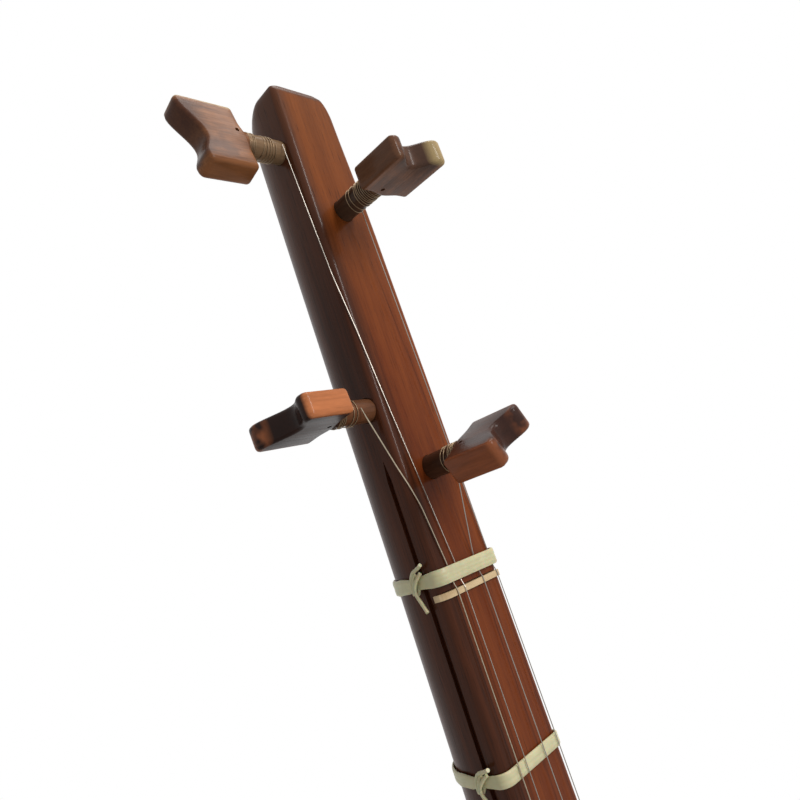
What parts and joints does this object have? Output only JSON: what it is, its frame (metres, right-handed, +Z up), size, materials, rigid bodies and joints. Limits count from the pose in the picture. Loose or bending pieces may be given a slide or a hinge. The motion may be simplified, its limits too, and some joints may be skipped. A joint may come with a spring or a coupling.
{
  "type": "setar lute",
  "caption": "Long-necked plucked lute with a deep staved bowl, a slim neck with tied gut frets, T-shaped tuning pegs that turn, wound strings, a bone nut and a floating bridge.",
  "frame": {"origin": "middle of the fingerboard's front face at the nut's centre line, where the fork of a hanger closes round the neck below the pegs", "axes": "+Z up the neck towards the head, +Y from the fingerboard's face to the bowl's back, +X to the treble side"},
  "size_m": [0.1558, 0.1669, 0.8952],
  "materials": {
    "neck_wood": "dark stained hardwood, polished by hand",
    "stave_light": "satin oiled hardwood",
    "stave_dark": "satin oiled dark hardwood",
    "block_wood": "bare softwood",
    "cap_wood": "satin dark hardwood",
    "board_wood": "thin oiled mulberry",
    "bridge_wood": "satin dark hardwood",
    "peg_wood": "turned hardwood, worn satin",
    "bone": "polished bone",
    "gut": "translucent gut",
    "brass_wire": "drawn wire",
    "steel_wire": "drawn wire",
    "brass_string": "drawn wire",
    "steel_string": "drawn wire"
  },
  "bodies": {
    "lute": {"neck": "neck_wood", "bowl_stave_01": "stave_light", "bowl_stave_02": "stave_dark", "bowl_stave_03": "stave_light", "bowl_stave_04": "stave_dark", "bowl_stave_05": "stave_light", "bowl_stave_06": "stave_dark", "bowl_stave_07": "stave_light", "bowl_stave_08": "stave_dark", "bowl_stave_09": "stave_light", "bowl_stave_10": "stave_dark", "bowl_stave_11": "stave_light", "neck_block": "block_wood", "tail_block": "block_wood", "tail_cap": "cap_wood", "soundboard": "board_wood", "nut": "bone", "bridge": "bridge_wood", "tailpiece": "bone", "string_bass": "brass_string", "string_drone": "steel_string", "string_middle": "steel_string", "string_treble": "steel_string", "string_band": "gut", "fret_01": "gut", "fret_02": "gut", "fret_03": "gut", "fret_04": "gut", "fret_05": "gut", "fret_06": "gut", "fret_07": "gut", "fret_08": "gut", "fret_09": "gut", "fret_10": "gut", "fret_11": "gut", "fret_12": "gut", "fret_13": "gut", "fret_14": "gut", "fret_15": "gut", "fret_16": "gut", "fret_17": "gut", "fret_18": "gut", "fret_19": "gut", "fret_20": "gut", "fret_21": "gut", "fret_22": "gut", "fret_23": "gut", "fret_24": "gut"},
    "peg_side_upper": {"peg_side_upper": "peg_wood", "winding_side_upper": "steel_wire"},
    "peg_front_upper": {"peg_front_upper": "peg_wood", "winding_front_upper": "brass_wire"},
    "peg_side_lower": {"peg_side_lower": "peg_wood", "winding_side_lower": "brass_wire"},
    "peg_front_lower": {"peg_front_lower": "peg_wood", "winding_front_lower": "steel_wire"}
  },
  "joints": [
    {"name": "tune_side_upper", "type": "hinge", "parent": "lute", "child": "peg_side_upper", "pos_m": [-0.01179, 0.0066, 0.1474], "axis": [-1, 0, 0], "continuous": true},
    {"name": "tune_front_upper", "type": "hinge", "parent": "lute", "child": "peg_front_upper", "pos_m": [0.0004, 0, 0.1236], "axis": [0, -1, 0], "continuous": true},
    {"name": "tune_side_lower", "type": "hinge", "parent": "lute", "child": "peg_side_lower", "pos_m": [-0.013, 0.0054, 0.0575], "axis": [-1, 0, 0], "continuous": true},
    {"name": "tune_front_lower", "type": "hinge", "parent": "lute", "child": "peg_front_lower", "pos_m": [0, 0, 0.036], "axis": [0, -1, 0], "continuous": true}
  ]
}
